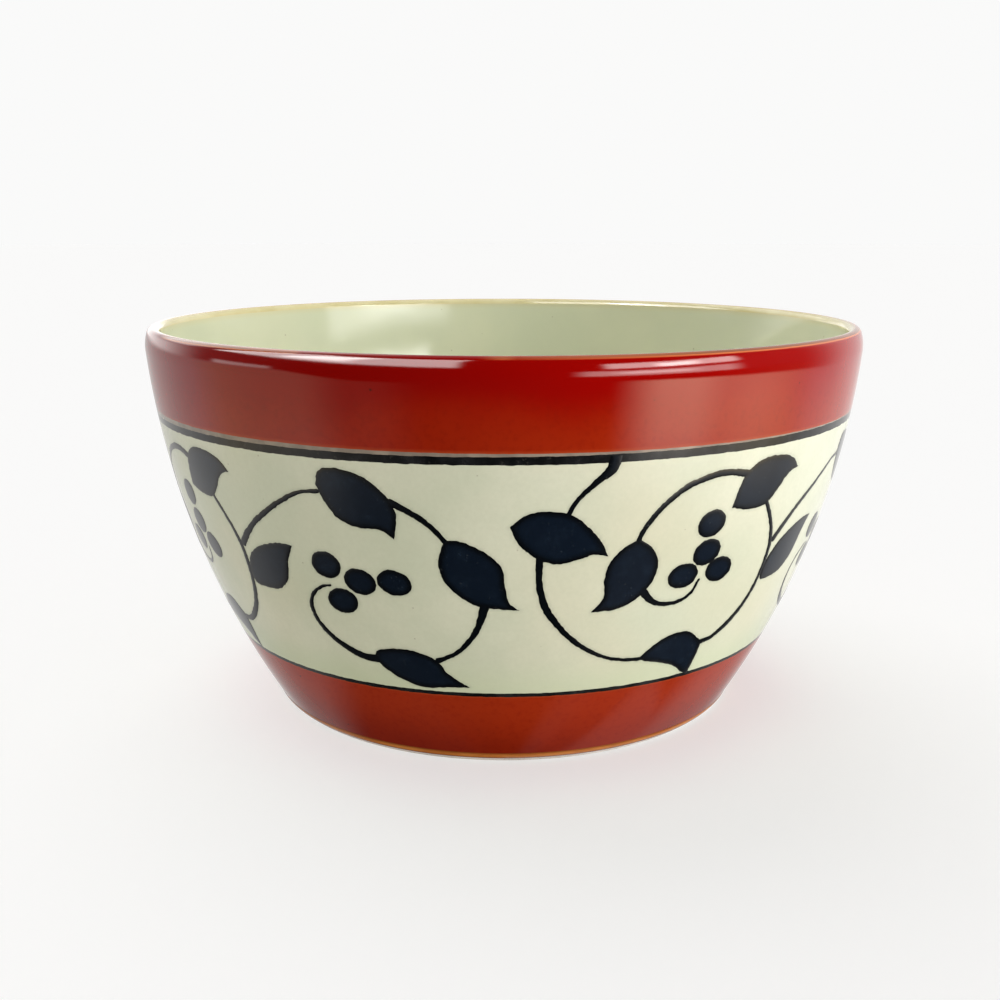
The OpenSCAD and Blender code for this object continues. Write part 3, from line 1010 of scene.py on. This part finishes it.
def emitter(name, colour, strength=1.0):
    """A material that only shines."""
    made = Recipe(name, 1.0)
    light = made.node("ShaderNodeEmission")
    light.inputs["Color"].default_value = colour
    light.inputs["Strength"].default_value = strength
    out = next(n for n in made.tree.nodes if n.type == "OUTPUT_MATERIAL")
    made.link(light.outputs["Emission"], out.inputs["Surface"])
    return made, light


def room():
    """What the glaze reflects: dark in front, windows and pale paper at both sides, pale walls behind."""
    made, light = emitter("stage_room", (1, 1, 1, 1))
    seen = made.node("ShaderNodeAttribute", attribute_name="glow")
    made.link(seen.outputs["Color"], light.inputs["Color"])
    dome, aims = ball("stage_room", 1.8, 1, made.material)
    store = dome.data.attributes.new("glow", "FLOAT_COLOR", "POINT")
    store.data.foreach_set("color", [part for a, e in aims for part in glow(a, e)])
    dome.visible_camera = False


def backdrop():
    """A plain pale backdrop that meets the paper without a line."""
    made, _ = emitter("stage_backdrop", (1, 1, 0.995, 1), PAPER)
    dome, _ = ball("stage_backdrop", 5.0, 10, made.material)
    dome.visible_glossy = False


SKY_LOW = 0.27         # light of the room at the horizon
SKY_HIGH = 0.72        # and overhead
# Irradiance, angle from the front, angle up and width of the soft lights, in degrees
SIDE_LIGHT = (1.3, 72, 15, 50)
INSIDE_LIGHTS = ((0.80, 62, 12, 50), (0.24, -75, 25, 60))
BACK_LIGHT = (0.40, -150, 52, 60)
FLOOR_LIGHT = (SKY_LOW + SKY_HIGH) / 2 + BACK_LIGHT[0] * math.sin(math.radians(BACK_LIGHT[2]))


def world():
    """Soft light from all round, stronger overhead."""
    made = bpy.data.worlds.new("studio")
    made.use_nodes = True
    tree = made.node_tree
    sky = tree.nodes["Background"]
    sight = tree.nodes.new("ShaderNodeTexCoord")
    split = tree.nodes.new("ShaderNodeSeparateXYZ")
    rise = tree.nodes.new("ShaderNodeMapRange")
    square = tree.nodes.new("ShaderNodeMath")
    square.operation = "POWER"
    square.inputs[1].default_value = 2.0
    rise.inputs["To Min"].default_value = SKY_LOW
    rise.inputs["To Max"].default_value = SKY_HIGH
    tree.links.new(sight.outputs["Generated"], split.inputs["Vector"])
    tree.links.new(split.outputs["Z"], square.inputs[0])
    tree.links.new(square.outputs["Value"], rise.inputs["Value"])
    tree.links.new(rise.outputs["Result"], sky.inputs["Strength"])
    sky.inputs["Color"].default_value = (1, 1, 1, 1)
    bpy.context.scene.world = made


def soft_light(name, irradiance, azimuth, elevation, width):
    """A wide soft light from far away."""
    data = bpy.data.lights.new(name, "SUN")
    data.energy = irradiance * math.pi
    data.angle = math.radians(width)
    lamp = bpy.data.objects.new(name, data)
    bpy.context.collection.objects.link(lamp)
    lamp.rotation_euler = Vector(aim(azimuth, elevation)).to_track_quat("Z", "Y").to_euler()
    lamp.visible_glossy = False
    return lamp


def lights():
    """Window light on the bowl, kept off the paper, and a light from behind on the left."""
    side = soft_light("side_light", *SIDE_LIGHT)
    side.data.color = (1, 1.01, 1.1)
    side.light_linking.receiver_collection = outside_pieces
    for k, setting in enumerate(INSIDE_LIGHTS):
        inner = soft_light(f"inside_light_{k}", *setting)
        inner.light_linking.receiver_collection = inside_pieces
    soft_light("back_light", *BACK_LIGHT)


def camera():
    """The camera, close in front of the bowl and a little above its rim."""
    data = bpy.data.cameras.new("camera")
    data.sensor_width = 36
    data.lens = 43.81
    data.clip_start = 0.01
    data.clip_end = 20
    eye = bpy.data.objects.new("camera", data)
    bpy.context.collection.objects.link(eye)
    eye.location = (-0.00066, -0.230, 0.08722)
    look_down = 0.2246
    eye.rotation_euler = (math.pi / 2 - look_down, 0, 0)
    bpy.context.scene.camera = eye


floor()
room()
backdrop()
world()
lights()
camera()
bpy.context.scene.view_settings.view_transform = "Standard"
